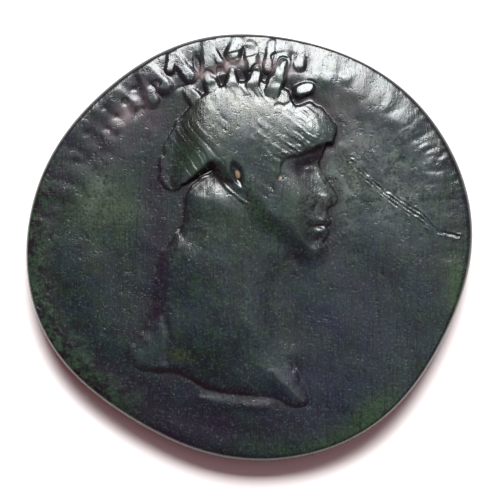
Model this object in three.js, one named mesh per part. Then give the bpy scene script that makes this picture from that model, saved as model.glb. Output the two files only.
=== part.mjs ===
// Roman bronze coin, a worn dupondius, lying on its reverse.
// Millimetres, +Z up, portrait side up, origin at the middle of the underside.
import * as THREE from "three";

// the blank
const flanRadius = 13.64;
const flanLobes = [[1, 0.20, 51], [2, 0.28, 5], [3, 0.15, 51], [4, 0.18, 17], [7, 0.05, 1]];
const coreThickness = 2.12;
const reverseDepth = 0.38;
const edgeMiddle = 1.22;
const edgeWidth = 0.64;
const edgeFullness = 0.76;
const edgeTurn = 80;
const flatShare = 0.90;

// the portrait side, heights above the field
const neckHeight = 0.36;
const cheekHeight = 0.46;
const wornHeight = 0.66;
const neckOutline = [
  [-2.3, 4.6], [-3.7, 3.3], [-3.75, 2.0], [-4.3, 0.8], [-5.05, -0.3], [-5.4, -1.8], [-5.5, -3.3],
  [-6.2, -4.9], [-7.2, -6.1], [-7.6, -7.0], [-6.0, -7.55], [-4.1, -7.7], [-2.9, -8.45], [-1.0, -9.0],
  [1.2, -9.1], [2.6, -9.75], [3.6, -9.7], [3.1, -8.3], [2.3, -6.8], [1.9, -5.2], [1.9, -3.4],
  [2.2, -1.9], [2.9, -0.6], [2.9, 2.4], [0.0, 4.6],
];
const hairOutline = [
  [5.3, 6.65], [5.5, 7.45], [4.75, 8.3], [3.9, 8.85], [3.1, 8.75], [2.65, 9.0], [2.45, 9.5], [1.8, 10.0], [0.3, 10.35],
  [-1.4, 10.15], [-3.0, 9.4], [-4.3, 7.9], [-5.1, 6.3], [-5.5, 4.9], [-5.2, 3.7], [-4.3, 3.65],
  [-3.2, 4.4], [-2.35, 4.9], [-1.75, 3.9], [-1.05, 2.8], [0.3, 2.2], [1.6, 2.9], [2.1, 4.2],
  [2.15, 5.2], [3.0, 5.5], [3.6, 5.9], [4.4, 6.25],
];
const faceOutline = [
  [4.8, 7.1], [4.62, 5.9], [4.35, 5.15], [4.75, 4.3], [5.4, 3.25], [5.4, 2.75], [4.9, 2.35],
  [4.95, 1.8], [5.1, 1.5], [4.8, 1.25], [4.95, 0.95], [4.85, 0.6], [4.6, 0.3], [4.8, -0.15],
  [4.6, -0.7], [4.0, -0.95], [3.0, -0.75], [1.6, -0.3], [0.2, 0.6], [-0.8, 1.9], [-1.4, 3.4],
  [-1.6, 5.2], [0.5, 7.4], [3.0, 8.2],
];
// each feature of the face: x, y, half length, half width, turn, height
const faceFeatures = [
  [3.75, 5.55, 0.85, 0.26, 10, 0.06],
  [3.65, 4.85, 0.75, 0.42, 5, -0.09],
  [3.75, 4.80, 0.40, 0.24, 0, 0.09],
  [4.75, 3.90, 0.32, 1.00, 25, 0.10],
  [4.75, 2.80, 0.42, 0.34, 0, 0.10],
  [4.12, 2.45, 0.20, 0.50, -20, -0.05],
  [4.65, 1.58, 0.36, 0.18, -10, 0.07],
  [4.50, 1.26, 0.50, 0.11, 3, -0.09],
  [4.55, 0.93, 0.33, 0.19, 6, 0.07],
  [4.40, 0.42, 0.40, 0.20, 0, -0.04],
  [4.20, -0.20, 0.50, 0.45, 0, 0.07],
  [2.60, 3.20, 1.10, 1.00, 0, 0.04],
];
const crown = {
  x: -0.3, y: 5.5, firstAt: 66, step: 14.5, count: 7, root: 4.7, reach: 5.35,
  frontLonger: 1.15, halfWidth: 0.30, tip: 0.30, height: 0.24, backHeight: 0.05,
};
const skull = { x: -0.2, y: 4.9, long: 6.2, tall: 5.7, height: 0.56, edge: 0.13, backFall: 0.36 };
const jewel = { x: 3.5, y: 10.0, long: 0.82, short: 0.52, turn: 35, height: 0.18, fall: 0.20 };
const ear = { x: -0.70, y: 4.6, long: 0.90, short: 0.36, turn: 111, depth: 0.14 };
const napeHollow = [-2.7, 4.2, 1.7, 0.85, 12, 0.26];
const shoulderFold = [[-5.3, -4.3], [-4.9, -5.8], [-5.0, -7.2]];
const lowerFold = [[-3.2, -9.3], [-1.0, -9.8], [1.4, -10.0]];
const letterRing = { from: 163, to: 14, step: 4.4, inset: 0.75, length: 1.7, halfWidth: 0.36, height: 0.15 };
const footSoftness = 0.34;

// the reverse, a draped standing figure with a staff, heights above its own field
const reverseWorn = 0.38;
const figure = [
  { line: [[0.0, 6.7], [0.0, 7.3]], radius: 0.95, height: 0.44 },
  { line: [[0.0, 5.4], [0.2, 2.6]], radius: 1.55, height: 0.62 },
  { line: [[0.2, 2.4], [0.3, -6.4]], radius: 2.05, height: 0.64 },
  { line: [[-1.0, 4.7], [-3.2, 3.1], [-4.6, 3.3]], radius: 0.62, height: 0.34 },
  { line: [[1.2, 4.8], [2.9, 3.2], [3.5, 4.6]], radius: 0.62, height: 0.34 },
  { line: [[3.9, 7.9], [3.6, -7.4]], radius: 0.34, height: 0.26 },
  { line: [[-5.2, 3.6], [-4.3, 3.9]], radius: 0.55, height: 0.28 },
  { line: [[-5.4, -7.9], [5.4, -7.9]], radius: 0.50, height: 0.26 },
];
const drapeFolds = { count: 5, spread: 0.72, top: 2.0, foot: -6.6, halfWidth: 0.20, depth: 0.14 };
const reverseRim = { inset: 1.05, halfWidth: 0.75, height: 0.36, wave: 0.07 };

// how finely each side is cut
const gridCells = 256;
const obverseTriangles = 6900;
const reverseTriangles = 2500;

const metal = new THREE.MeshStandardMaterial({ color: 0x3c4540, roughness: 0.42, metalness: 0.85 });

function radians(degrees) {
  return degrees * Math.PI / 180;
}

function smoothStep(low, high, x) {
  const t = THREE.MathUtils.clamp((x - low) / (high - low), 0, 1);
  return t * t * (3 - 2 * t);
}

function softMax(a, b, soft) {
  return (a + b + Math.sqrt((a - b) ** 2 + soft ** 2)) / 2;
}

function softMin(a, b, soft) {
  return (a + b - Math.sqrt((a - b) ** 2 + soft ** 2)) / 2;
}

// a cushion that climbs from a soft foot at an outline to its height at a given depth inside
function swell(depth, width, height, soft = footSoftness) {
  const eased = (depth + Math.hypot(depth, soft)) / 2;
  const t = THREE.MathUtils.clamp(eased / width, 0, 1);
  return height * (1 - (1 - t) ** 2.2);
}

function ridge(distance, halfWidth) {
  return Math.exp(-((distance / halfWidth) ** 2));
}

function bump(x, y, [cx, cy, long, short, turn, height]) {
  const c = Math.cos(radians(turn));
  const s = Math.sin(radians(turn));
  const u = ((x - cx) * c + (y - cy) * s) / long;
  const v = (-(x - cx) * s + (y - cy) * c) / short;
  return height * Math.exp(-(u * u + v * v));
}

// smooth closed line through an outline's points
function roundedLine(points) {
  const corners = points.map(([x, y]) => new THREE.Vector3(x, y, 0));
  const curve = new THREE.CatmullRomCurve3(corners, true, "catmullrom", 0.5);
  return curve.getPoints(points.length * 5).map((p) => [p.x, p.y]);
}

function lineDistance(x, y, line) {
  let best = Infinity;
  for (let i = 0; i + 1 < line.length; i++) {
    const dx = line[i + 1][0] - line[i][0];
    const dy = line[i + 1][1] - line[i][1];
    const px = x - line[i][0];
    const py = y - line[i][1];
    const t = THREE.MathUtils.clamp((px * dx + py * dy) / (dx * dx + dy * dy), 0, 1);
    best = Math.min(best, (px - t * dx) ** 2 + (py - t * dy) ** 2);
  }
  return Math.sqrt(best);
}

// distance to a closed line, positive inside it
function depthInside(x, y, line) {
  let inside = false;
  for (let i = 0; i + 1 < line.length; i++) {
    const [ax, ay] = line[i];
    const [bx, by] = line[i + 1];
    if ((ay > y) !== (by > y) && x < ax + (y - ay) / (by - ay) * (bx - ax)) {
      inside = !inside;
    }
  }
  const distance = lineDistance(x, y, line);
  return inside ? distance : -distance;
}

function ovalDepth(x, y, oval) {
  const c = Math.cos(radians(oval.turn));
  const s = Math.sin(radians(oval.turn));
  const u = ((x - oval.x) * c + (y - oval.y) * s) / oval.long;
  const v = (-(x - oval.x) * s + (y - oval.y) * c) / oval.short;
  return (1 - Math.hypot(u, v)) * oval.short;
}

function outlineRadius(angle) {
  let r = flanRadius;
  for (const [count, size, at] of flanLobes) {
    r += size * Math.cos(count * (angle - radians(at)));
  }
  return r;
}

// height of the rays, which fall away outwards and to the back, and the depth inside them
function crownRays(x, y) {
  let rays = 0;
  let best = -9;
  for (let i = 0; i < crown.count; i++) {
    const angle = radians(crown.firstAt + crown.step * i);
    const reach = crown.reach + (i === 0 ? crown.frontLonger : 0.12 * Math.sin(2.4 * i));
    const along = (x - crown.x) * Math.cos(angle) + (y - crown.y) * Math.sin(angle);
    const side = (x - crown.x) * Math.sin(angle) - (y - crown.y) * Math.cos(angle);
    if (along < crown.root - 0.6) {
      continue;
    }
    const left = THREE.MathUtils.clamp((reach - along) / (reach - crown.root), 0, 1);
    const half = crown.tip + crown.halfWidth * left ** 0.85;
    const depth = half - Math.hypot(side, Math.max(along - reach, 0));
    const front = (1 - i / 8) ** 1.5;
    const height = crown.backHeight + (crown.height - crown.backHeight) * front;
    const fall = 1.25 - 0.85 * smoothStep(crown.root, reach + 0.3, along);
    rays = Math.max(rays, swell(depth, 0.50, height * fall));
    best = Math.max(best, depth);
  }
  return [rays, best];
}

// a ring of plain worn strokes standing where the lettering was
function strokeRing(ring) {
  const strokes = [];
  let angle = ring.from;
  for (let i = 0; angle > ring.to; i++) {
    const a = radians(angle);
    const outer = outlineRadius(a) - ring.inset - 0.2 * Math.sin(3.1 * i);
    const inner = outer - ring.length * (0.75 + 0.35 * Math.sin(1.7 * i + 0.4));
    const lean = a + radians(2.2 * Math.sin(2.9 * i + 1));
    const worn = 1 - 0.75 * smoothStep(95, 50, angle) - 0.6 * smoothStep(130, 160, angle);
    strokes.push({
      line: [[inner * Math.cos(a), inner * Math.sin(a)], [outer * Math.cos(lean), outer * Math.sin(lean)]],
      halfWidth: ring.halfWidth * (1 + 0.3 * Math.sin(2.3 * i)) * (1.4 - 0.4 * worn),
      height: ring.height * worn,
    });
    angle -= ring.step * (1 + 0.22 * Math.sin(1.9 * i));
  }
  return strokes;
}

function strokeHeight(x, y, strokes) {
  let best = 0;
  for (const { line, halfWidth, height } of strokes) {
    const [[ax, ay], [bx, by]] = line;
    if (Math.hypot(x - ax, y - ay) < 3) {
      const length = Math.hypot(bx - ax, by - ay);
      const along = ((x - ax) * (bx - ax) + (y - ay) * (by - ay)) / length ** 2;
      const kept = height * (1 - 0.6 * THREE.MathUtils.clamp(along, 0, 1));
      best = Math.max(best, kept * (1 - smoothStep(0.1, 1.4, lineDistance(x, y, line) / halfWidth)));
    }
  }
  return best;
}

const neckLine = roundedLine(neckOutline);
const hairLine = roundedLine(hairOutline);
const faceLine = roundedLine(faceOutline);
const obverseStrokes = strokeRing(letterRing);

function obverseHeight(x, y) {
  const r = Math.hypot(x, y);
  const angle = Math.atan2(y, x);
  const rim = outlineRadius(angle) - r;
  const northEast = Math.max(Math.cos(angle - radians(58)), 0) ** 1.5;
  const west = Math.max(Math.cos(angle - radians(190)), 0);
  let field = 0.05 * (r / 13) ** 2 - 0.42 * northEast * smoothStep(2.6, -0.6, rim);
  field += 0.02 * ridge(rim - 0.9, 0.6) - 0.03 * west * ridge(rim - 1.9, 0.9);
  field += 0.02 * Math.sin(0.9 * x + 1.3 * Math.sin(0.5 * y)) * Math.cos(0.7 * y + 0.4);

  const inNeck = depthInside(x, y, neckLine);
  const inHair = depthInside(x, y, hairLine);
  const inFace = depthInside(x, y, faceLine);
  const [rays, inCrown] = crownRays(x, y);
  const inJewel = ovalDepth(x, y, jewel);
  const low = smoothStep(-6.4, -7.4, y);

  // neck, cheek and hair as cushions melted together
  const neckWidth = 0.65 + 1.4 * smoothStep(-1.5, 1.5, x) - 0.30 * smoothStep(-6.0, -7.6, y);
  const rise = neckHeight * (1 - 0.30 * smoothStep(-4.5, -7.5, y));
  const soft = footSoftness + 0.3 * smoothStep(2.0, -1.0, y) * (1 - low);
  let neck = swell(inNeck, neckWidth, 0.5 * rise, soft) + swell(inNeck, 2.8, 0.5 * rise, soft);
  neck += bump(x, y, [-1.7, -1.0, 2.3, 6.0, 0, 0.15]) * smoothStep(0, 2, inNeck);
  let cheek = swell(inFace, 2.4, cheekHeight) * (1 - 0.25 * smoothStep(2.5, 5, x));
  cheek += bump(x, y, [0.6, 3.0, 2.6, 2.8, 0, 0.20]) * smoothStep(0, 2, inFace);
  let mass = softMax(neck, cheek, 0.16);
  mass -= bump(x, y, napeHollow);
  for (const feature of faceFeatures) {
    mass += bump(x, y, feature) * smoothStep(0, 0.3, inFace);
  }

  // the skull is a dome that falls away to the top and the back, steep at fringe and nape
  const reach = Math.hypot((x - skull.x) / skull.long, (y - skull.y) / skull.tall);
  let dome = skull.edge + skull.height * (1 - Math.min(reach, 1.3) ** 2.4);
  dome += bump(x, y, [4.3, 7.0, 1.3, 1.1, -35, 0.22]) - skull.backFall * smoothStep(-2.5, -5.5, x);
  const steep = 0.45 + bump(x, y, [0.0, 2.8, 2.1, 1.4, -50, 2.4]);
  mass = softMax(mass, softMin(dome, swell(inHair, steep, 0.8), 0.05), 0.04);
  mass = softMax(mass, rays, 0.03);
  mass = softMax(mass, swell(inJewel, 0.30, jewel.height - jewel.fall * (y - jewel.y)), 0.02);
  const inEar = ovalDepth(x, y, ear);
  mass -= ear.depth * smoothStep(-0.05, 0.2, inEar);
  mass = softMin(mass, wornHeight, 0.06);
  const covered = Math.max(inNeck, inHair, inFace, inCrown, inJewel);
  mass = Math.max(mass, 0) * smoothStep(-0.6, 0.0, covered);
  mass -= 0.05 * ridge(lineDistance(x, y, shoulderFold), 0.24);
  mass += bump(x, y, [2.2, -8.45, 1.1, 0.55, -35, 0.12]);

  // hollows at the foot of the relief, the drapery edge below, and the strokes
  const offFace = 1 - smoothStep(-0.1, 0.1, inFace);
  const offNeck = 1 - smoothStep(-0.1, 0.1, inNeck);
  const head = Math.max(inHair, inCrown, inJewel);
  let z = field + mass - 0.05 * ridge(head + 0.25, 0.26) * offFace * offNeck;
  const lit = 1 - smoothStep(0.5, 1.5, x) * (1 - low);
  z -= (0.02 + 0.04 * low) * ridge(inNeck + 0.22, 0.26) * offFace * lit;
  z += 0.05 * ridge(lineDistance(x, y, lowerFold), 0.32);
  z += strokeHeight(x, y, obverseStrokes) * (1 - smoothStep(-0.12, 0.05, Math.max(inCrown, inJewel)));
  return z;
}

// heights on the reverse, seen from below with its own up at v
function reverseHeight(u, v) {
  const r = Math.hypot(u, v);
  const angle = Math.atan2(v, u);
  const rim = outlineRadius(-angle) - r;
  let z = 0.02 * Math.sin(0.8 * u - 1.1 * Math.sin(0.6 * v)) * Math.cos(0.8 * v);
  for (const { line, radius, height } of figure) {
    const depth = radius - lineDistance(u, v, line);
    z = Math.max(z, swell(depth, radius, height));
  }
  for (let i = 0; i < drapeFolds.count; i++) {
    const side = i - (drapeFolds.count - 1) / 2;
    const top = [0.2 + side * drapeFolds.spread * 0.45, drapeFolds.top];
    const foot = [0.3 + side * drapeFolds.spread, drapeFolds.foot];
    z -= drapeFolds.depth * ridge(lineDistance(u, v, [top, foot]), drapeFolds.halfWidth);
  }
  const edge = reverseRim.height + reverseRim.wave * Math.cos(3 * angle + 0.7);
  z = Math.max(z, edge * ridge(rim - reverseRim.inset, reverseRim.halfWidth));
  return Math.min(z, reverseWorn);
}

// a point of one side from the square grid: square to disk, then out and round the edge
function sidePoint(gridX, gridY, up) {
  const a = gridX / gridCells * 2 - 1;
  const b = gridY / gridCells * 2 - 1;
  let s = 0;
  let angle = 0;
  if (Math.abs(a) > Math.abs(b)) {
    s = a;
    angle = Math.PI / 4 * (b / a);
  } else if (b !== 0) {
    s = b;
    angle = Math.PI / 2 - Math.PI / 4 * (a / b);
  }
  if (s < 0) {
    s = -s;
    angle += Math.PI;
  }
  const radius = outlineRadius(angle);
  const width = edgeWidth + 0.12 * Math.sin(3 * angle + 1);
  const turn = radians(edgeTurn) * Math.max(s - flatShare, 0) / (1 - flatShare);
  const r = (radius - width) * Math.min(s / flatShare, 1) + width * Math.sin(turn) ** edgeFullness;
  const x = r * Math.cos(angle);
  const y = r * Math.sin(angle);
  const above = reverseDepth + coreThickness;
  const surface = up ? above + obverseHeight(x, y) : reverseDepth - reverseHeight(x, -y);
  const middle = edgeMiddle + 0.05 * Math.sin(2 * angle + 0.5);
  return [x, y, middle + (surface - middle) * Math.cos(turn) ** edgeFullness];
}

// splits right triangles only where the surface bends, until the budget is used
function cutSide(up, budget) {
  const side = gridCells + 1;
  const end = gridCells;
  const points = [];
  for (let j = 0; j < side; j++) {
    for (let i = 0; i < side; i++) {
      points.push(sidePoint(i, j, up));
    }
  }

  // every right triangle from the two largest down to single cells
  const levels = [[[0, 0, end, end, end, 0], [end, end, 0, 0, 0, end]]];
  for (let size = end; size > 1; size /= 2) {
    for (let half = 0; half < 2; half++) {
      const finer = [];
      for (const [ax, ay, bx, by, cx, cy] of levels[levels.length - 1]) {
        const mx = (ax + bx) / 2;
        const my = (ay + by) / 2;
        finer.push([cx, cy, ax, ay, mx, my], [bx, by, cx, cy, mx, my]);
      }
      levels.push(finer);
    }
  }
  levels.pop();

  // how far the surface leaves each long side, never less than on the finer levels
  const bend = new Float64Array(side * side);
  for (const level of levels.reverse()) {
    for (const [ax, ay, bx, by, cx, cy] of level) {
      const middle = (ay + by) / 2 * side + (ax + bx) / 2;
      const [a, b, m] = [points[ay * side + ax], points[by * side + bx], points[middle]];
      const off = Math.hypot(...m.map((value, axis) => (a[axis] + b[axis]) / 2 - value));
      bend[middle] = Math.max(bend[middle], off);
      if (level !== levels[0]) {
        const left = (ay + cy) / 2 * side + (ax + cx) / 2;
        const right = (by + cy) / 2 * side + (bx + cx) / 2;
        bend[middle] = Math.max(bend[middle], bend[left], bend[right]);
      }
    }
  }

  function collect(limit) {
    const kept = [];
    let open = levels[levels.length - 1];
    while (open.length > 0) {
      const next = [];
      for (const [ax, ay, bx, by, cx, cy] of open) {
        const mx = (ax + bx) / 2;
        const my = (ay + by) / 2;
        if (Math.abs(ax - cx) + Math.abs(ay - cy) > 1 && bend[my * side + mx] > limit) {
          next.push([cx, cy, ax, ay, mx, my], [bx, by, cx, cy, mx, my]);
        } else {
          kept.push([ay * side + ax, by * side + bx, cy * side + cx]);
        }
      }
      open = next;
    }
    return kept;
  }

  let fine = 0;
  let coarse = 1;
  for (let step = 0; step < 24; step++) {
    const limit = (fine + coarse) / 2;
    if (collect(limit).length > budget) {
      fine = limit;
    } else {
      coarse = limit;
    }
  }
  const triangles = turnSides(points, collect(coarse));
  const used = new Set(triangles.flat());
  const ring = [...used].filter((k) => {
    const i = k % side;
    const j = Math.floor(k / side);
    return i === 0 || j === 0 || i === end || j === end;
  });
  return { points, triangles, ring };
}

// swaps the shared side of two triangles wherever the other diagonal lies closer to the surface
function turnSides(points, triangles) {
  const side = gridCells + 1;
  const place = (k) => [k % side, Math.floor(k / side)];
  const doubleArea = (p, q, r) => (q[0] - p[0]) * (r[1] - p[1]) - (q[1] - p[1]) * (r[0] - p[0]);
  const onFlat = (k) => place(k).every((n) => Math.abs(n / gridCells * 2 - 1) < flatShare);
  const height = (i, j, axis) => {
    const [i0, j0] = [Math.min(Math.floor(i), gridCells - 1), Math.min(Math.floor(j), gridCells - 1)];
    const [s, t] = [i - i0, j - j0];
    const k = j0 * side + i0;
    const near = points[k][axis] * (1 - s) + points[k + 1][axis] * s;
    return near * (1 - t) + (points[k + side][axis] * (1 - s) + points[k + side + 1][axis] * s) * t;
  };
  const miss = (a, b) => {
    const [p, q] = [place(a), place(b)];
    let sum = 0;
    for (const t of [0.2, 0.35, 0.5, 0.65, 0.8]) {
      const [i, j] = [p[0] + (q[0] - p[0]) * t, p[1] + (q[1] - p[1]) * t];
      const off = [0, 1, 2].map((axis) => points[a][axis] * (1 - t) + points[b][axis] * t - height(i, j, axis));
      sum += Math.hypot(...off);
    }
    return sum;
  };
  for (let pass = 0; pass < 14; pass++) {
    const owners = new Map();
    triangles.forEach((corners, t) => {
      for (let n = 0; n < 3; n++) {
        owners.set(corners[n] * side * side + corners[(n + 1) % 3], [t, corners[(n + 2) % 3]]);
      }
    });
    const touched = new Set();
    for (const [key, [t, c]] of owners) {
      const [a, b] = [Math.floor(key / (side * side)), key % (side * side)];
      const other = owners.get(b * side * side + a);
      if (a > b || !other || touched.has(t) || touched.has(other[0])) {
        continue;
      }
      const [u, d] = other;
      const [pa, pb, pc, pd] = [a, b, c, d].map(place);
      const whole = doubleArea(pa, pb, pc) + doubleArea(pb, pa, pd);
      const shares = [doubleArea(pa, pd, pc) / whole, doubleArea(pd, pb, pc) / whole];
      if (Math.min(...shares) > 0.12 && [a, b, c, d].every(onFlat) && miss(c, d) < 0.97 * miss(a, b) - 1e-4) {
        triangles[t] = [a, d, c];
        triangles[u] = [d, b, c];
        touched.add(t).add(u);
      }
    }
    if (touched.size === 0) {
      break;
    }
  }
  return triangles;
}

// both sides joined round the edge by one band of triangles
function coinGeometry() {
  const top = cutSide(true, obverseTriangles);
  const bottom = cutSide(false, reverseTriangles);
  const positions = [];
  const index = [];
  const maps = [top, bottom].map(({ points, triangles }, sheet) => {
    const map = new Map();
    for (const corners of triangles) {
      const placed = corners.map((k) => {
        if (!map.has(k)) {
          map.set(k, positions.length / 3);
          positions.push(...points[k]);
        }
        return map.get(k);
      });
      index.push(...(sheet === 0 ? placed.reverse() : placed));
    }
    return map;
  });
  const turnFromCorner = (k, points) => {
    const angle = Math.atan2(points[k][1], points[k][0]) + radians(135) + 1e-9;
    return (angle + 2 * Math.PI) % (2 * Math.PI);
  };
  const rings = [top, bottom].map(({ points, ring }, sheet) => {
    const turns = ring.map((k) => [turnFromCorner(k, points), maps[sheet].get(k)]);
    turns.sort((p, q) => p[0] - q[0]);
    return [...turns, [2 * Math.PI + turns[0][0], turns[0][1]]];
  });
  const [upper, lower] = rings;
  let [i, j] = [0, 0];
  while (i + 1 < upper.length || j + 1 < lower.length) {
    const nextUpper = i + 1 < upper.length ? upper[i + 1][0] : Infinity;
    const nextLower = j + 1 < lower.length ? lower[j + 1][0] : Infinity;
    if (nextUpper < nextLower) {
      index.push(upper[i][1], lower[j][1], upper[i + 1][1]);
      i += 1;
    } else {
      index.push(lower[j][1], lower[j + 1][1], upper[i][1]);
      j += 1;
    }
  }
  const geometry = new THREE.BufferGeometry();
  geometry.setAttribute("position", new THREE.Float32BufferAttribute(positions, 3));
  geometry.setIndex(index);
  geometry.computeBoundingBox();
  const box = geometry.boundingBox;
  geometry.translate(-(box.min.x + box.max.x) / 2, -(box.min.y + box.max.y) / 2, -box.min.z);
  geometry.computeVertexNormals();
  return geometry;
}

const coin = new THREE.Mesh(coinGeometry(), metal);
coin.name = "coin";
const group = new THREE.Group();
group.add(coin);

export default group;
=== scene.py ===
# Worn Roman bronze coin with a green-brown patina, lying on its reverse on a white surface.
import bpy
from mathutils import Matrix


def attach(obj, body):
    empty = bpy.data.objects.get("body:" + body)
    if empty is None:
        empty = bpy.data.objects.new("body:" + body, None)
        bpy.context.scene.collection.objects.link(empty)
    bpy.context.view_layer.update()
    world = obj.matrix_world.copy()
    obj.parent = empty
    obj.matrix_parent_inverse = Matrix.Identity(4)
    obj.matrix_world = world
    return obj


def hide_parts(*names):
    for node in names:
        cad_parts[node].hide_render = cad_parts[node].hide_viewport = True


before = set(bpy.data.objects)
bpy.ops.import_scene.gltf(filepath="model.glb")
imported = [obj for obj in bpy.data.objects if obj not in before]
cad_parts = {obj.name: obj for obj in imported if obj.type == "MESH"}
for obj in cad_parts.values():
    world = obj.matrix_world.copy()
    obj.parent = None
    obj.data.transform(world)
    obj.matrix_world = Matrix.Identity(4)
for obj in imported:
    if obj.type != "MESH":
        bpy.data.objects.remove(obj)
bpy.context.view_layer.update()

import math
import bpy
import numpy as np
from mathutils import Vector

mm = 0.001

# sizes in millimetres, angles in degrees, heights above the field of their own side
blank = {
    "radius": 13.64,
    "lobes": [(1, 0.20, 51), (2, 0.28, 5), (3, 0.15, 51), (4, 0.18, 17), (7, 0.05, 1)],
    "core": 2.12,  # metal between the two fields
    "reverseDepth": 0.38, "edgeMiddle": 1.22, "middleWave": 0.05, "edgeWidth": 0.46, "widthWave": 0.12,
    "edgeFullness": 0.66, "edgeTurn": 80, "flatShare": 0.92,
}


def smoothStep(low, high, x):
    t = np.clip((x - low) / (high - low), 0.0, 1.0)
    return t * t * (3.0 - 2.0 * t)


def softMax(a, b, soft):
    return (a + b + np.sqrt((a - b) ** 2 + soft ** 2)) / 2.0


def softMin(a, b, soft):
    return (a + b - np.sqrt((a - b) ** 2 + soft ** 2)) / 2.0


def ridge(distance, halfWidth):
    return np.exp(-(distance / halfWidth) ** 2)


# a cushion that climbs from a soft foot at an outline to its height at a given depth inside
def swell(depth, width, height, soft=0.10):
    eased = (depth + np.hypot(depth, soft)) / 2.0
    return height * (1.0 - (1.0 - np.clip(eased / width, 0.0, 1.0)) ** 2.2)


def bump(x, y, shape):
    cx, cy, long, short, turn, height = shape
    c, s = math.cos(math.radians(turn)), math.sin(math.radians(turn))
    u = ((x - cx) * c + (y - cy) * s) / long
    v = (-(x - cx) * s + (y - cy) * c) / short
    return height * np.exp(-(u * u + v * v))


# unevenness of a given size across the metal, between -1 and 1
def unevenness(x, y, size, seed):
    grid = np.random.default_rng(seed).random((64, 64)) * 2.0 - 1.0
    c, s = math.cos(1.7 * seed), math.sin(1.7 * seed)
    u, v = (x * c + y * s) / size + 31.0, (y * c - x * s) / size + 17.0
    i, j = np.floor(u).astype(int), np.floor(v).astype(int)
    p, q = smoothStep(0, 1, u - i), smoothStep(0, 1, v - j)
    i0, i1, j0, j1 = i % 64, (i + 1) % 64, j % 64, (j + 1) % 64
    return ((grid[i0, j0] * (1 - p) + grid[i1, j0] * p) * (1 - q)
            + (grid[i0, j1] * (1 - p) + grid[i1, j1] * p) * q)


# a smooth closed curve through a few points
def roundedLine(points):
    p = np.array(points, dtype=float)
    before, after, beyond = np.roll(p, 1, 0), np.roll(p, -1, 0), np.roll(p, -2, 0)
    second = 2 * before - 5 * p + 4 * after - beyond
    third = 3 * p - before - 3 * after + beyond
    steps = [0.5 * (2 * p + (after - before) * t + second * t ** 2 + third * t ** 3)
             for t in np.arange(5) / 5.0]
    line = np.stack(steps, 1).reshape(-1, 2)
    return np.vstack([line, line[:1]])


# distance to the nearest of a few straight pieces
def lineDistance(x, y, line):
    best = np.full(x.shape, 1e9)
    for (ax, ay), (bx, by) in zip(line[:-1], line[1:]):
        dx, dy = bx - ax, by - ay
        t = np.clip(((x - ax) * dx + (y - ay) * dy) / (dx * dx + dy * dy), 0.0, 1.0)
        best = np.minimum(best, (x - ax - t * dx) ** 2 + (y - ay - t * dy) ** 2)
    return np.sqrt(best)


# distance to a closed line, positive inside it
def depthInside(x, y, line):
    inside = np.zeros(x.shape, dtype=bool)
    for (ax, ay), (bx, by) in zip(line[:-1], line[1:]):
        if ay != by:
            inside ^= ((ay > y) != (by > y)) & (x < ax + (y - ay) / (by - ay) * (bx - ax))
    distance = lineDistance(x, y, line)
    return np.where(inside, distance, -distance)


def ovalDepth(x, y, oval):
    c, s = math.cos(math.radians(oval["turn"])), math.sin(math.radians(oval["turn"]))
    px, py = x - oval["at"][0], y - oval["at"][1]
    u, v = (px * c + py * s) / oval["long"], (py * c - px * s) / oval["short"]
    return (1.0 - np.hypot(u, v)) * oval["short"]


def outlineRadius(angle):
    r = blank["radius"] + 0.0 * angle
    for count, size, at in blank["lobes"]:
        r = r + size * np.cos(count * (angle - math.radians(at)))
    return r


crown = {"at": (-0.3, 5.5), "first": 67, "step": 15.5, "count": 5, "root": 4.7, "reach": 5.6,
         "frontLonger": 0.9, "halfWidth": 0.24, "tip": 0.32, "height": 0.25,
         "backHeight": 0.03, "flank": 0.24,
         "notches": [(-3.75, 9.45, 0.32, 0.58, 15, 0.12), (-4.85, 8.3, 0.55, 0.30, -25, 0.07),
                     (-5.5, 6.7, 0.45, 0.22, -35, 0.04)]}


def crownRays(x, y):
    cx, cy = crown["at"]
    rays, best = np.zeros(x.shape), np.full(x.shape, -9.0)
    for i in range(crown["count"]):
        angle = math.radians(crown["first"] + crown["step"] * i)
        reach = crown["reach"] + (crown["frontLonger"] if i == 0 else 0.12 * math.sin(2.4 * i))
        along = (x - cx) * math.cos(angle) + (y - cy) * math.sin(angle)
        side = (x - cx) * math.sin(angle) - (y - cy) * math.cos(angle)
        left = np.clip((reach - along) / (reach - crown["root"]), 0.0, 1.0)
        halfWidth = crown["tip"] + crown["halfWidth"] * left ** 0.85
        depth = halfWidth - np.hypot(side, np.maximum(along - reach, 0.0))
        depth = np.where(along < crown["root"] - 0.6, -9.0, depth)
        height = crown["backHeight"] + (crown["height"] - crown["backHeight"]) * (1 - i / 8) ** 1.1
        height = height * (1.25 - 0.85 * smoothStep(crown["root"], reach + 0.3, along))
        rays = np.maximum(rays, swell(depth, crown["flank"], height, 0.05))
        best = np.maximum(best, depth)
    return rays, best


strokes = {"first": 163, "last": 14, "step": 4.9, "inset": 0.75, "length": 1.7,
           "halfWidth": 0.45, "height": 0.13, "moat": 0.012}


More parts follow.
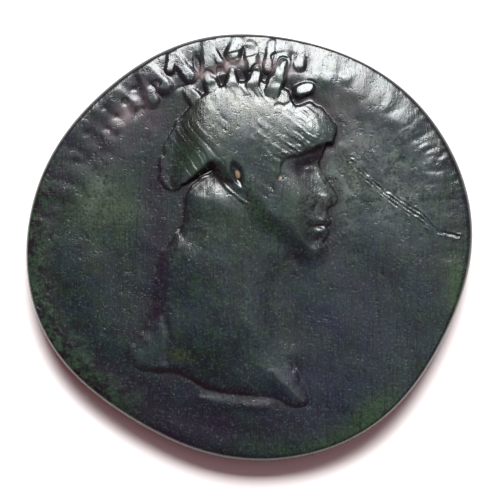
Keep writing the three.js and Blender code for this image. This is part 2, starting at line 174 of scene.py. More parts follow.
# plain worn strokes standing where the lettering was, flush at the rim, with moats that the material darkens
# with dirt and painted shade
def strokeHeight(x, y, ring, wornAt):
    rise, moat = np.zeros(x.shape), np.zeros(x.shape)
    angle, i = float(ring["first"]), 0
    while angle > ring["last"]:
        a = math.radians(angle)
        outer = float(outlineRadius(a)) - ring["inset"] - 0.2 * math.sin(3.1 * i)
        inner = outer - ring["length"] * (0.75 + 0.35 * math.sin(1.7 * i + 0.4))
        lean = a + math.radians(2.2 * math.sin(2.9 * i + 1.0))
        worn = wornAt(angle)
        half = ring["halfWidth"] * (1 + 0.3 * math.sin(2.3 * i)) * (1.4 - 0.4 * worn)
        ax, ay = inner * math.cos(a), inner * math.sin(a)
        bx, by = outer * math.cos(lean), outer * math.sin(lean)
        near = np.hypot(x - ax, y - ay) < 3.2
        px, py = x[near], y[near]
        distance = lineDistance(px, py, [(ax, ay), (bx, by)])
        squared = (bx - ax) ** 2 + (by - ay) ** 2
        along = np.clip(((px - ax) * (bx - ax) + (py - ay) * (by - ay)) / squared, 0, 1)
        kept = worn * (1 - 0.6 * along)
        top = ring["height"] * kept * (1 - smoothStep(0.45 * worn, 1.4 - 0.2 * worn, distance / half))
        rise[near] = np.maximum(rise[near], top)
        moat[near] = np.maximum(moat[near], ring["moat"] * kept * ridge(distance - 1.4 * half, 0.7 * half))
        angle -= ring["step"] * (1 + 0.22 * math.sin(1.9 * i))
        i += 1
    return rise - moat * smoothStep(ring["height"] * 0.5, 0.0, rise)


# the strokes stand highest at the top and are worn low to the right and to the left
def obverseWear(angle):
    return 1 - 0.75 * float(smoothStep(95, 50, angle)) - 0.72 * float(smoothStep(112, 138, angle))


crustedRim = {"direction": 198, "reach": 2.4, "ragged": 0.5, "height": 0.012}


# share of crust at the rim to the west and south west
def crustPlace(x, y):
    angle = np.arctan2(y, x)
    rim = outlineRadius(angle) - np.hypot(x, y) + crustedRim["ragged"] * unevenness(x, y, 1.1, 32)
    towards = np.cos(angle - math.radians(crustedRim["direction"]))
    return smoothStep(crustedRim["reach"], 0.7, rim) * smoothStep(0.66, 0.93, towards)


portrait = {
    "neckHeight": 0.36, "cheekHeight": 0.46, "worn": 0.66,
    "neck": [(-2.3, 4.6), (-3.7, 3.3), (-3.75, 2.0), (-4.3, 0.8), (-5.05, -0.3), (-5.4, -1.8), (-5.5, -3.3),
             (-6.0, -4.9), (-6.8, -6.1), (-7.1, -7.1), (-5.8, -7.7), (-4.1, -7.8), (-2.9, -8.45),
             (-1.0, -9.0), (1.2, -9.1), (2.6, -9.75), (3.6, -9.7), (3.1, -8.3), (2.3, -6.8),
             (1.9, -5.2), (1.9, -3.4), (2.2, -1.9), (2.9, -0.6), (2.9, 2.4), (0.0, 4.6)],
    "hair": [(5.3, 6.65), (5.5, 7.45), (4.75, 8.3), (3.9, 8.85), (3.1, 8.75), (2.65, 9.0), (2.45, 9.5),
             (1.8, 10.0), (0.3, 10.35), (-1.4, 10.15), (-3.0, 9.4), (-4.3, 7.9), (-5.1, 6.3),
             (-5.5, 4.9), (-5.2, 3.7), (-4.3, 3.65), (-3.2, 4.4), (-2.35, 4.9), (-1.75, 3.9),
             (-1.05, 2.8), (0.3, 2.2), (1.6, 2.9), (2.1, 4.2), (2.15, 5.2),
             (3.0, 5.5), (3.6, 5.9), (4.4, 6.25)],
    "face": [(4.8, 7.1), (4.62, 5.9), (4.35, 5.15), (4.75, 4.3), (5.4, 3.25), (5.4, 2.75), (4.9, 2.35),
             (4.95, 1.8), (5.1, 1.5), (4.8, 1.25), (4.95, 0.95), (4.85, 0.6), (4.6, 0.3), (4.8, -0.15),
             (4.6, -0.7), (4.0, -0.95), (3.0, -0.75), (1.6, -0.3), (0.2, 0.6), (-0.8, 1.9), (-1.4, 3.4),
             (-1.6, 5.2), (0.5, 7.4), (3.0, 8.2)],
    # brow, eye hollow, eye, nose, its tip and wing, upper lip, line between the lips, lower lip,
    # hollow under it, chin, cheekbone: x, y, long, short, turn, height, all lowered by the wear below
    "features": [(3.75, 5.55, 0.85, 0.26, 10, 0.06), (3.65, 4.85, 0.75, 0.42, 5, -0.09),
                 (3.75, 4.80, 0.40, 0.24, 0, 0.09), (4.75, 3.90, 0.32, 1.00, 25, 0.10),
                 (4.75, 2.80, 0.42, 0.34, 0, 0.10), (4.12, 2.45, 0.20, 0.50, -20, -0.05),
                 (4.65, 1.58, 0.36, 0.18, -10, 0.07), (4.50, 1.26, 0.50, 0.11, 3, -0.09),
                 (4.55, 0.93, 0.33, 0.19, 6, 0.07), (4.40, 0.42, 0.40, 0.20, 0, -0.04),
                 (4.20, -0.20, 0.50, 0.45, 0, 0.07), (2.60, 3.20, 1.10, 1.00, 0, 0.04)],
    "featureWear": 0.85,
    "nape": (-2.7, 4.2, 1.7, 0.85, 12, 0.13),
    "neckCore": (-1.7, -1.0, 2.3, 6.0, 0, 0.15), "cheekCore": (0.6, 3.0, 2.6, 2.8, 0, 0.20),
    "shoulderFold": [(-5.3, -4.3), (-4.9, -5.8), (-5.0, -7.2)],
    "lowerFold": [(-3.0, -9.45), (-1.0, -9.9), (1.0, -10.0)], "frontTip": (2.2, -8.45, 1.1, 0.55, -35, 0.06),
    "foldDepth": 0.05, "hemHeight": 0.05, "hairMoat": 0.035, "neckMoat": 0.008, "bustMoat": 0.03,
}
skull = {"at": (-0.2, 4.9), "long": 6.2, "tall": 5.7, "height": 0.60, "edge": 0.12, "backFall": 0.37,
         "forelock": (4.3, 7.0, 1.3, 1.1, -35, 0.22), "side": 0.45,
         "softBelowEar": (-0.4, 2.9, 2.3, 1.5, -52, 3.0),
         "blend": (-0.8, 3.4, 2.2, 1.3, -50, 0.16)}
hair = {"sweepFrom": (8.7, 15.7), "strand": 0.62, "fineStrand": 0.27, "lift": 0.005, "edgeLift": 0.009,
        "curlAt": (2.9, 7.45), "curl": 0.46, "curlLift": 0.008,
        "parting": [(2.6, 8.95), (2.2, 8.75), (1.7, 8.85)], "partingDepth": 0.025}
jewel = {"at": (3.45, 9.87), "long": 0.82, "short": 0.52, "turn": 35,
         "height": 0.19, "fall": 0.19, "flank": 0.22}
ear = {"at": (-0.70, 4.6), "long": 0.90, "short": 0.36, "turn": 111, "depth": 0.17, "rim": 0.035}
scratch = {"line": [(6.3, 5.4), (7.9, 3.8), (10.4, 1.95), (11.6, 1.0), (13.1, 0.55)], "apart": 0.26,
           "depth": 0.022, "burr": 0.013}
field = {"dish": 0.05, "northEast": 58, "northEastDrop": 0.42, "south": 252, "southDrop": 0.20,
         "rimRoll": 0.02, "west": 190, "westFurrow": 0.03, "wave": 0.02}


# the open field: a shallow dish that drops away at the north-east and south rims
def fieldHeight(x, y):
    r, angle = np.hypot(x, y), np.arctan2(y, x)
    rim = outlineRadius(angle) - r
    northEast = np.clip(np.cos(angle - math.radians(field["northEast"])), 0, 1) ** 1.5
    west = np.clip(np.cos(angle - math.radians(field["west"])), 0, 1)
    south = np.clip(np.cos(angle - math.radians(field["south"])), 0, 1) ** 0.7
    z = field["dish"] * (r / 13) ** 2 - field["northEastDrop"] * northEast * smoothStep(2.6, -0.6, rim)
    z -= field["southDrop"] * south * smoothStep(4.0, -0.5, rim)
    z += field["rimRoll"] * ridge(rim - 0.9, 0.6) - field["westFurrow"] * west * ridge(rim - 1.9, 0.9)
    z += field["wave"] * np.sin(0.9 * x + 1.3 * np.sin(0.5 * y)) * np.cos(0.7 * y + 0.4)
    return z


# neck, shoulders and face before the hair goes on
def bustHeight(x, y, inNeck, inFace, low):
    neckWidth = 0.65 + 1.4 * smoothStep(-1.5, 1.5, x) - 0.40 * smoothStep(-6.0, -7.6, y)
    neckHeight = portrait["neckHeight"] * (1 - 0.35 * smoothStep(-4.5, -7.5, y))
    soft = 0.12 + 0.20 * smoothStep(2.0, -1.0, y) * (1 - low)
    neck = swell(inNeck, neckWidth, 0.4 * neckHeight, soft) + swell(inNeck, 2.8, 0.6 * neckHeight, soft)
    neck += bump(x, y, portrait["neckCore"]) * smoothStep(0, 2, inNeck)
    cheek = swell(inFace, 2.4, portrait["cheekHeight"]) * (1 - 0.25 * smoothStep(2.5, 5, x))
    cheek += bump(x, y, portrait["cheekCore"]) * smoothStep(0, 2.0, inFace)
    mass = softMax(neck, cheek, 0.16)
    mass -= bump(x, y, portrait["nape"])
    for feature in portrait["features"]:
        mass += portrait["featureWear"] * bump(x, y, feature) * smoothStep(0, 0.3, inFace)
    return mass


# the skull is a dome that falls away to the top and the back, with steep sides that soften below the ear
def skullHeight(x, y, inHair):
    reach = np.hypot((x - skull["at"][0]) / skull["long"], (y - skull["at"][1]) / skull["tall"])
    dome = skull["edge"] + skull["height"] * (1 - np.minimum(reach, 1.3) ** 2)
    dome += bump(x, y, skull["forelock"]) - skull["backFall"] * smoothStep(-2.5, -5.5, x)
    side = skull["side"] + bump(x, y, skull["softBelowEar"])
    return softMin(dome, swell(inHair, side, 0.8, 0.26), 0.06)


# strands sweep in arcs from the top of the head to the fringe, left where it is less worn,
# and the front roll is a few locks bent round one centre, parted from the skull by a short groove
def strandHeight(x, y, px, py, inHair):
    sweep = np.hypot(x - hair["sweepFrom"][0], y - hair["sweepFrom"][1])
    sweep = sweep + 0.12 * unevenness(x, y, 1.1, 5) + 0.05 * unevenness(x, y, 0.4, 6)
    strands = np.sin(sweep * 2 * math.pi / hair["strand"])
    strands += 0.7 * np.sin(sweep * 2 * math.pi / hair["fineStrand"] + 1.0)
    left = 0.25 + 0.75 * smoothStep(-0.4, 0.4, unevenness(x, y, 1.2, 10))
    lift = hair["lift"] + hair["edgeLift"] * smoothStep(1.8, 0.3, inHair)
    z = lift * strands * left * smoothStep(0.0, 0.3, inHair)
    curl = np.hypot(x - hair["curlAt"][0], (y - hair["curlAt"][1]) * 1.15) + 0.06 * unevenness(x, y, 0.5, 29)
    roll = smoothStep(0.7, 1.1, curl) * smoothStep(2.4, 2.0, curl) * smoothStep(1.9, 3.0, x)
    locks = hair["curlLift"] * np.sin(curl * 2 * math.pi / hair["curl"])
    z += locks * roll * smoothStep(0.0, 0.25, inHair) * left
    band = lineDistance(px, py, hair["parting"])
    return z - hair["partingDepth"] * smoothStep(0.2, 0.02, band) * smoothStep(0, 0.2, inHair)


# a long scratch to the edge, several scores side by side
def scratchHeight(x, y, px, py):
    z = np.zeros(x.shape)
    for side in (-1, 0, 1):
        line = [(lx, ly + side * scratch["apart"] * (0.5 + 0.5 * math.sin(0.9 * i + 0.3)))
                for i, (lx, ly) in enumerate(scratch["line"])]
        d = lineDistance(px, py, line)
        broken = 0.15 + 0.85 * smoothStep(-0.3, 0.4, unevenness(x, y, 0.5, 21 + 15 * side))
        furrow = scratch["depth"] * (1 - smoothStep(0.02, 0.09, d))
        z += broken * (scratch["burr"] * ridge(d - 0.11, 0.05) - furrow)
    return z


# height of the marks in the open metal, and its waves: height, size, seed
metal = {"rimPits": 0.05, "drawn": 0.016, "waves": [(0.016, 1.7, 7), (0.008, 0.6, 8), (0.003, 0.22, 9)]}


# heights of the portrait side
def obverseHeight(x, y):
    r, angle = np.hypot(x, y), np.arctan2(y, x)
    rim = outlineRadius(angle) - r

    # wear and corrosion leave every edge a little crooked
    px = x + 0.12 * unevenness(x, y, 0.9, 1) + 0.06 * unevenness(x, y, 0.35, 2)
    py = y + 0.12 * unevenness(x, y, 0.9, 3) + 0.06 * unevenness(x, y, 0.35, 4)
    inNeck = depthInside(px, py, roundedLine(portrait["neck"]))
    inHair = depthInside(px, py, roundedLine(portrait["hair"])) + 0.09 * unevenness(x, y, 0.42, 27)
    inFace = depthInside(x, y, roundedLine(portrait["face"]))
    rays, inCrown = crownRays(px, py)
    inJewel = ovalDepth(px, py, jewel)
    low = smoothStep(-6.4, -7.4, y)

    mass = bustHeight(x, y, inNeck, inFace, low)
    mass = softMax(mass, skullHeight(x, y, inHair), 0.04 + bump(x, y, skull["blend"]))
    mass += strandHeight(x, y, px, py, inHair)
    for notch in crown["notches"]:
        mass -= bump(px, py, notch)
    inEar = ovalDepth(px, py, ear)
    mass += ear["rim"] * ridge(inEar + 0.12, 0.12) - ear["depth"] * smoothStep(-0.05, 0.2, inEar)
    mass = softMin(mass, portrait["worn"], 0.06)

    # the foot of the relief fades softly along the neck, and the crown and its ornament keep a crisp one
    covered = np.maximum.reduce([inNeck, inHair, inFace])
    foot = -0.35 + 0.22 * smoothStep(-1, 1, y)
    foot -= 0.20 * smoothStep(3, 1, y) * smoothStep(-2, -3, x) * (1 - low)
    foot -= 0.6 * smoothStep(0, -2, y) * smoothStep(0.5, 1.5, x) * (1 - low)
    mass = np.where(mass > 0, mass * smoothStep(foot, 0.05, covered), mass)
    mass = np.where(rays > 0, softMax(mass, rays, 0.02), mass)
    stoneHeight = jewel["height"] - jewel["fall"] * (y - jewel["at"][1])
    stone = swell(inJewel, jewel["flank"], stoneHeight, 0.05)
    mass = np.where(stone > 0, softMax(mass, stone, 0.02), mass)
    mass -= portrait["foldDepth"] * ridge(lineDistance(px, py, portrait["shoulderFold"]), 0.24)
    mass += bump(x, y, portrait["frontTip"])

    # hollows at the foot of the relief, the drapery edge below it, and the ring of strokes
    offFace = 1 - smoothStep(-0.1, 0.1, inFace)
    offNeck = 1 - smoothStep(-0.1, 0.1, inNeck)
    front = smoothStep(-5, -2, x)
    z = fieldHeight(x, y) + mass
    z -= portrait["hairMoat"] * front * ridge(inHair + 0.24, 0.30) * offFace * offNeck
    behind = 1 - smoothStep(0.5, 1.5, x) * (1 - low)
    moat = portrait["neckMoat"] + portrait["bustMoat"] * low
    z -= moat * ridge(inNeck + 0.10, 0.18) * offFace * behind
    z += portrait["hemHeight"] * ridge(lineDistance(px, py, portrait["lowerFold"]), 0.30)
    gx = x + 0.06 * unevenness(x, y, 0.6, 24)
    gy = y + 0.06 * unevenness(x, y, 0.6, 25)
    legend = smoothStep(3.0, 2.4, rim) * smoothStep(0.7, 1.2, rim) * smoothStep(1.1, 1.5, angle)
    pits = smoothStep(0.2, 0.6, unevenness(x, y, 0.7, 26))
    z -= metal["rimPits"] * legend * pits * smoothStep(2.7, 2.3, np.abs(angle))
    clear = 1 - smoothStep(-0.12, 0.05, np.maximum(inCrown, inJewel))
    z += strokeHeight(gx, gy, strokes, obverseWear) * clear
    z += scratchHeight(x, y, px, py)

    # metal drawn outwards by the strike near the east rim, crust at the other side, then waves all over
    drawn = unevenness(angle * 12.0, r * 0.3, 0.3, 22) + 0.6 * unevenness(angle * 12.0, r * 0.4, 0.17, 23)
    east = smoothStep(0.9, 0.55, angle) * smoothStep(-0.35, 0.0, angle)
    z += metal["drawn"] * drawn * smoothStep(3.2, 1.2, rim) * east
    crust = smoothStep(0.0, 0.4, unevenness(x, y, 0.5, 28) + 0.5 * unevenness(x, y, 0.25, 30))
    z += crustedRim["height"] * crust * crustPlace(x, y)
    for lift, size, seed in metal["waves"]:
        z += lift * unevenness(x, y, size, seed)
    return z


reverse = {
    "worn": 0.38,
    # head, body, skirt, arms, staff, dish, ground line
    "figure": [([(0.0, 6.7), (0.0, 7.3)], 0.95, 0.44), ([(0.0, 5.4), (0.2, 2.6)], 1.55, 0.62),
               ([(0.2, 2.4), (0.3, -6.4)], 2.05, 0.64), ([(-1.0, 4.7), (-3.2, 3.1), (-4.6, 3.3)], 0.62, 0.34),
               ([(1.2, 4.8), (2.9, 3.2), (3.5, 4.6)], 0.62, 0.34), ([(3.9, 7.9), (3.6, -7.4)], 0.34, 0.26),
               ([(-5.2, 3.6), (-4.3, 3.9)], 0.55, 0.28), ([(-5.4, -7.9), (5.4, -7.9)], 0.50, 0.26)],
    "folds": {"count": 5, "spread": 0.72, "top": 2.0, "foot": -6.6, "halfWidth": 0.20, "depth": 0.14},
    "rim": {"inset": 1.05, "halfWidth": 0.75, "height": 0.36, "wave": 0.07},
    "strokes": {"first": 232, "last": -52, "step": 5.4, "inset": 1.25, "length": 1.4, "halfWidth": 0.28,
                "height": 0.12, "moat": 0.04},
    "waves": [(0.012, 1.5, 13), (0.008, 0.5, 14)],
}


def reverseWear(angle):
    return 0.8 + 0.2 * math.sin(math.radians(3 * angle))


# heights of the reverse, seen from below with its own up at v
def reverseHeight(u, v):
    r, angle = np.hypot(u, v), np.arctan2(v, u)
    rim = outlineRadius(-angle) - r
    pu = u + 0.08 * unevenness(u, v, 0.8, 11)
    pv = v + 0.08 * unevenness(u, v, 0.8, 12)
    z = 0.02 * np.sin(0.8 * u - 1.1 * np.sin(0.6 * v)) * np.cos(0.8 * v)
    for line, radius, height in reverse["figure"]:
        z = np.maximum(z, swell(radius - lineDistance(pu, pv, line), radius, height))
    folds = reverse["folds"]
    for i in range(folds["count"]):
        side = i - (folds["count"] - 1) / 2
        spread = side * folds["spread"]
        line = [(0.2 + 0.45 * spread, folds["top"]), (0.3 + spread, folds["foot"])]
        z -= folds["depth"] * ridge(lineDistance(pu, pv, line), folds["halfWidth"])
    edge = reverse["rim"]["height"] + reverse["rim"]["wave"] * np.cos(3 * angle + 0.7)
    z = np.maximum(z, edge * ridge(rim - reverse["rim"]["inset"], reverse["rim"]["halfWidth"]))
    z = np.maximum(z, strokeHeight(pu, pv, reverse["strokes"], reverseWear))
    z += sum(lift * unevenness(u, v, size, seed) for lift, size, seed in reverse["waves"])
    return np.minimum(z, reverse["worn"])


mesh = {"cells": 512, "obverseTriangles": 130000, "reverseTriangles": 52000}


# points of one side from a square grid: square to disk, then out and round the edge
def sidePoints(up):
    cells = mesh["cells"]
    across = np.arange(cells + 1) / cells * 2 - 1
    a, b = np.meshgrid(across, across)
    wide = np.abs(a) > np.abs(b)
    safeA, safeB = np.where(a == 0, 1, a), np.where(b == 0, 1, b)
    s = np.where(wide, a, b)
    angle = np.where(wide, math.pi / 4 * b / safeA, math.pi / 2 - math.pi / 4 * a / safeB)
    angle = angle + np.where(s < 0, math.pi, 0)
    s = np.abs(s)
    radius = outlineRadius(angle)
    width = blank["edgeWidth"] + blank["widthWave"] * np.sin(3 * angle + 1)
    flat = blank["flatShare"]
    turn = math.radians(blank["edgeTurn"]) * np.maximum(s - flat, 0) / (1 - flat)
    r = (radius - width) * np.minimum(s / flat, 1) + width * np.sin(turn) ** blank["edgeFullness"]
    x, y = r * np.cos(angle), r * np.sin(angle)
    if up:
        surface = blank["reverseDepth"] + blank["core"] + obverseHeight(x, y)
    else:
        surface = blank["reverseDepth"] - reverseHeight(x, -y)
    middle = blank["edgeMiddle"] + blank["middleWave"] * np.sin(2 * angle + 0.5)
    z = middle + (surface - middle) * np.cos(turn) ** blank["edgeFullness"]
    return np.stack([x, y, z], -1).reshape(-1, 3), surface


# average over a square of cells, used to tell hollows from worn high parts
def blurred(values, reach):
    padded = np.pad(values, reach, mode="edge")
    for axis in (0, 1):
        total = np.cumsum(padded, axis=axis)
        total = np.insert(total, 0, 0.0, axis=axis)
        size = 2 * reach + 1
        ahead = np.take(total, np.arange(size, total.shape[axis]), axis=axis)
        behind = np.take(total, np.arange(0, total.shape[axis] - size), axis=axis)
        padded = (ahead - behind) / size
    return padded


# splits right triangles only where the surface bends, until the budget is used
def cutSide(points, budget):
    cells, side = mesh["cells"], mesh["cells"] + 1
    levels = [np.array([[0, 0, cells, cells, cells, 0], [cells, cells, 0, 0, 0, cells]])]
    for _ in range(2 * int(math.log2(cells)) - 1):
        a, b, c = levels[-1][:, :2], levels[-1][:, 2:4], levels[-1][:, 4:]
        m = (a + b) // 2
        levels.append(np.vstack([np.hstack([c, a, m]), np.hstack([b, c, m])]))

    def at(corner):
        return corner[:, 1] * side + corner[:, 0]

    bend = np.zeros(side * side)
    for level in reversed(levels):
        a, b, c = level[:, :2], level[:, 2:4], level[:, 4:]
        m = at((a + b) // 2)
        off = np.linalg.norm((points[at(a)] + points[at(b)]) / 2 - points[m], axis=1)
        if level is not levels[-1]:
            off = np.maximum.reduce([off, bend[at((a + c) // 2)], bend[at((b + c) // 2)]])
        np.maximum.at(bend, m, off)

    def collect(limit):
        kept, still = [], levels[0]
        while len(still):
            a, b, c = still[:, :2], still[:, 2:4], still[:, 4:]
            m = (a + b) // 2
            split = (np.abs(a - c).sum(1) > 1) & (bend[at(m)] > limit)
            kept.append(np.stack([at(a), at(b), at(c)], 1)[~split])
            a, b, c, m = a[split], b[split], c[split], m[split]
            still = np.vstack([np.hstack([c, a, m]), np.hstack([b, c, m])])
        return np.vstack(kept)

    fine, coarse = 0.0, 1.0
    for _ in range(22):
        limit = (fine + coarse) / 2
        if len(collect(limit)) > budget:
            fine = limit
        else:
            coarse = limit
    return collect(coarse)


# clouds of toning (the violet partly painted shade), dust, painted sheen and earth on the portrait side: x,
# y, long, short, turn, share
toningAndPaintedLight = {
    "green": [(-9.1, 2.3, 2.5, 2.1, 0, 0.8), (-3.8, 5.8, 1.9, 1.4, 20, 0.4), (-0.8, 1.8, 3.6, 2.0, 0, 0.4),
              (12.9, -2.3, 0.7, 2.4, 0, 1.0), (7.5, -10.7, 3.4, 1.0, 35, 1.0),
              (-13.0, -0.3, 0.6, 5.5, 2, 0.9), (-11.4, -6.2, 0.6, 2.2, 35, 0.3),
              (2.5, -12.5, 3.0, 0.5, 3, 0.6)],
    "blue": [(6.1, -4.6, 3.6, 4.2, 0, 0.9), (3.4, -9.4, 2.6, 1.8, 0, 0.9), (-5.5, -8.9, 4.5, 1.2, -18, 0.5),
             (-5.8, -2.0, 0.7, 3.6, 0, 0.8), (8.6, 5.6, 2.4, 3.0, 0, 0.4)],
    # violet toning, partly painted shade: the darker south rim, the lower left and the band beside the neck
    "violetAndShade": [(-7.3, 8.6, 4.4, 1.9, 45, 0.9), (-12.0, 3.2, 0.9, 3.4, -6, 1.0), (-5.9, 3.2, 0.8, 2.4, 0, 0.9),
               (-5.7, -0.6, 0.55, 3.0, 0, 1.4), (-6.6, -4.6, 0.6, 1.5, -50, 1.0),
               (-2.5, -11.0, 5.5, 1.5, -6, 1.0), (-7.5, -9.0, 3.2, 1.3, -42, 0.9),
               (-3.6, -8.3, 3.4, 0.6, -15, 0.7), (3.9, 4.6, 1.2, 1.2, 0, 0.5)],
    "olive": [(-0.6, 8.6, 3.2, 1.5, 0, 0.5), (-4.3, -6.8, 1.0, 0.35, -20, 0.6),
              (-9.2, 2.5, 2.1, 1.7, 0, 0.35), (6.6, 4.4, 1.6, 0.8, -30, 0.5)],
    "dust": [(6.4, 7.6, 3.2, 2.2, -42, 0.25), (-6.6, 7.2, 2.0, 2.6, -40, 0.12),
             (-3.0, 3.7, 0.6, 0.4, 0, 0.4), (-7.0, 9.0, 2.4, 0.7, 45, 0.4), (-0.6, -9.6, 2.4, 0.25, 0, 0.3)],
    # painted sheen: pale clouds on the field where the flat metal catches the light
    "paintedSheen": [(6.2, 4.0, 3.2, 3.6, -30, 0.46), (10.0, 4.0, 2.6, 4.6, 20, 0.24),
             (-9.8, 3.4, 2.3, 2.6, 0, 0.30), (1.2, 6.9, 2.6, 1.3, 0, 0.30), (-0.5, 3.6, 2.6, 1.6, 0, 0.22)],
    "earth": [(-0.68, 4.45, 0.17, 0.30, 20, 1.0), (1.98, 4.15, 0.12, 0.24, 0, 0.9)],
}

dustRing = {"reach": 6.05, "halfWidth": 0.42}  # dust caught between the crown's rays


# share of each cloud of toning, dust, earth, crust, painted sheen and painted shade at every point of a side
def patches(x, y, up):
    spread = {}
    for seed, (name, shapes) in enumerate(toningAndPaintedLight.items()):
        plain = 0.4 * (name in ("green", "violetAndShade")) + 0 * x  # the reverse is toned evenly
        cloud = sum(bump(x, y, shape) for shape in shapes) if up else plain
        ragged = 0.9 + 0.6 * unevenness(x, y, 1.2, 31 + seed) + 0.5 * unevenness(x, y, 0.35, 41 + seed)
        if name == "earth":
            ragged = 1.0
        if name == "dust" and up:
            cx, cy = crown["at"]
            reach, angle = np.hypot(x - cx, y - cy), np.arctan2(y - cy, x)
            ring = ridge(reach - dustRing["reach"], dustRing["halfWidth"])
            cloud = cloud + ring * smoothStep(0.9, 1.2, angle) * smoothStep(2.4, 2.0, angle)
        spread[name] = np.clip(cloud * ragged, 0, 1)
    spread["crust"] = crustPlace(x, y) if up else 0 * x
    return spread


# thin band of triangles between the two sides' rims
def stitchedBand(upper, lower):
    band = []
    i = j = 0
    while i + 1 < len(upper) or j + 1 < len(lower):
        nextUpper = upper[i + 1][0] if i + 1 < len(upper) else math.inf
        nextLower = lower[j + 1][0] if j + 1 < len(lower) else math.inf
        if nextUpper < nextLower:
            band.append((upper[i][1], lower[j][1], upper[i + 1][1]))
            i += 1
        else:
            band.append((lower[j][1], lower[j + 1][1], upper[i][1]))
            j += 1
    return band


# each point carries its wear, toning, painted sheen and painted shade for the material
def coinMesh(points, triangles, readings):
    data = bpy.data.meshes.new("coinRelief")
    data.vertices.add(len(points))
    data.vertices.foreach_set("co", (points * mm).astype(np.float32).reshape(-1))
    data.loops.add(triangles.size)
    data.loops.foreach_set("vertex_index", triangles.astype(np.int32).reshape(-1))
    data.polygons.add(len(triangles))
    data.polygons.foreach_set("loop_start", np.arange(0, triangles.size, 3, dtype=np.int32))
    data.update(calc_edges=True)
    data.shade_smooth()
    for name, parts in readings.items():
        layer = data.attributes.new(name, "FLOAT", "POINT")
        layer.data.foreach_set("value", np.concatenate(parts).astype(np.float32))
    data.validate()
    print("coin mesh:", len(points), "points", len(triangles), "triangles")
    return data


# cells the heights are averaged over, and the millimetres of difference that count in full
wear = {"near": 4, "close": 6, "wide": 16, "crevice": 0.04, "hollow": 0.12, "worn": 0.14}


# how hollow, worn and creviced each point of the grid is, judged by the heights round it
def wearReadings(relief):
    near, wide = blurred(relief, wear["near"]), blurred(blurred(relief, wear["wide"]), wear["wide"])
    differences = {"hollow": wide - near, "worn": near - wide,
                   "crevice": blurred(relief, wear["close"]) - relief}
    return {name: np.clip(found / wear[name], 0, 1).reshape(-1) for name, found in differences.items()}


# numbers of the points on the rim by their turn round it, the first one again at the end
def rimRing(points, used, start):
    cells, side = mesh["cells"], mesh["cells"] + 1
    i, j = used % side, used // side
    onRing = np.nonzero((i == 0) | (j == 0) | (i == cells) | (j == cells))[0]
    p = points[used[onRing]]
    turns = np.mod(np.arctan2(p[:, 1], p[:, 0]) + math.radians(135) + 1e-9, 2 * math.pi)
    ring = [(float(turns[k]), int(onRing[k]) + start) for k in np.argsort(turns)]
    return ring + [(ring[0][0] + 2 * math.pi, ring[0][1])]


# both sides cut from their heights and joined round the edge
def buildCoin():
    places, faces, rings, readings = [], [], [], {}
    start = 0
    for up, budget in ((True, mesh["obverseTriangles"]), (False, mesh["reverseTriangles"])):
        points, surface = sidePoints(up)
        triangles = cutSide(points, budget)
        used, placed = np.unique(triangles, return_inverse=True)
        placed = placed.reshape(-1, 3) + start
        faces.append(placed[:, ::-1] if up else placed)
        places.append(points[used])
        for name, values in wearReadings(surface if up else -surface).items():
            readings.setdefault(name, []).append(values[used])
        for name, cloud in patches(points[used, 0], points[used, 1], up).items():
            readings.setdefault(name, []).append(cloud)
        rings.append(rimRing(points, used, start))
        start += len(used)
        print("side cut:", "obverse" if up else "reverse", len(triangles))
    triangles = np.vstack(faces + [np.array(stitchedBand(*rings))])
    points = np.vstack(places)
    low, high = points.min(0), points.max(0)
    points -= np.array([(low[0] + high[0]) / 2, (low[1] + high[1]) / 2, low[2]])
    return bpy.data.objects.new("reliefCoin", coinMesh(points, triangles, readings))


def linear(hexValue):
    channels = [((hexValue >> shift) & 255) / 255 for shift in (16, 8, 0)]
    return tuple(c / 12.92 if c <= 0.04045 else ((c + 0.055) / 1.055) ** 2.4 for c in channels) + (1.0,)


def addNode(tree, kind, settings=None, links=None):
    node = tree.nodes.new(kind)
    for name, value in (settings or {}).items():
        if isinstance(name, str) and hasattr(node, name):
            setattr(node, name, value)
        else:
            node.inputs[name].default_value = value
    for name, source in (links or {}).items():
        tree.links.new(source, node.inputs[name])
    return node


# struck Roman brass under a hard dark patina: glossy in the open, so the relief shows by its reflections,
# and dull and pinkish where dust lies. Real patina grain is 0.02 to 0.05 mm, too fine to show,
# so grain, specks and wiping marks are drawn several times coarser.
patina = {
    # the violet is toning and also painted shade
    "dark": 0x0E1719, "grey": 0x18262A, "green": 0x20361C, "blue": 0x151A2B, "violetAndShade": 0x181120,
    # the near-black is dirt, and in hollows and creases also painted shade
    # the pale grey-green is painted sheen
    "olive": 0x2E3620, "dirtAndShade": 0x110E13, "dust": 0x655A5B, "paintedSheen": 0x5A6660, "earth": 0x84735C,
    # the pale metal is worn metal on high parts and, in fine specks, painted glints
    "crust": 0x223526, "wornMetalAndGlint": 0x3C4A46,
    "mottleSize": 2.2, "fineSize": 0.9, "grainSize": 0.16, "crustSize": 0.8, "sheenSize": 0.4,
    "speckSize": 0.14, "scatterSize": 1.5, "pitSize": 0.55, "streakWidth": 0.16,
    "streakStretch": 0.07, "streakTurn": 0.16,  # the turn is in radians
    "roughness": 0.25, "dullRoughness": 0.52, "metallic": 0.15,
    "grainDepth": 0.0040, "speckDepth": 0.010, "pitDepth": 0.010, "lineDepth": 0.004,
    # each of these shows from the first value of its noise or reading to the second, up to the third
    "greyRange": (0.38, 0.62), "greenRange": (0.44, 0.66, 0.40), "blueRange": (0.46, 0.68, 0.40),
    "crustRange": (0.42, 0.56), "streakRange": (0.50, 0.66, 0.50), "sheenRange": (0.36, 0.52),
    # the pale specks are partly painted glints
    "darkGrainRange": (0.50, 0.36, 0.75), "glintSpeckRange": (0.54, 0.72, 0.65),
    "hollowRange": (0.1, 0.9, 0.85), "creviceRange": (0.2, 0.9, 0.8), "wornRange": (0.1, 1.0, 0.4),
    "dustRange": (0.45, 0.05), "earthRange": (0.35, 0.75), "speckRange": (0.58, 0.80),
    "scatterRange": (0.46, 0.62), "pitRange": (0.25, 0.45), "lineRange": (0.50, 0.72),
}


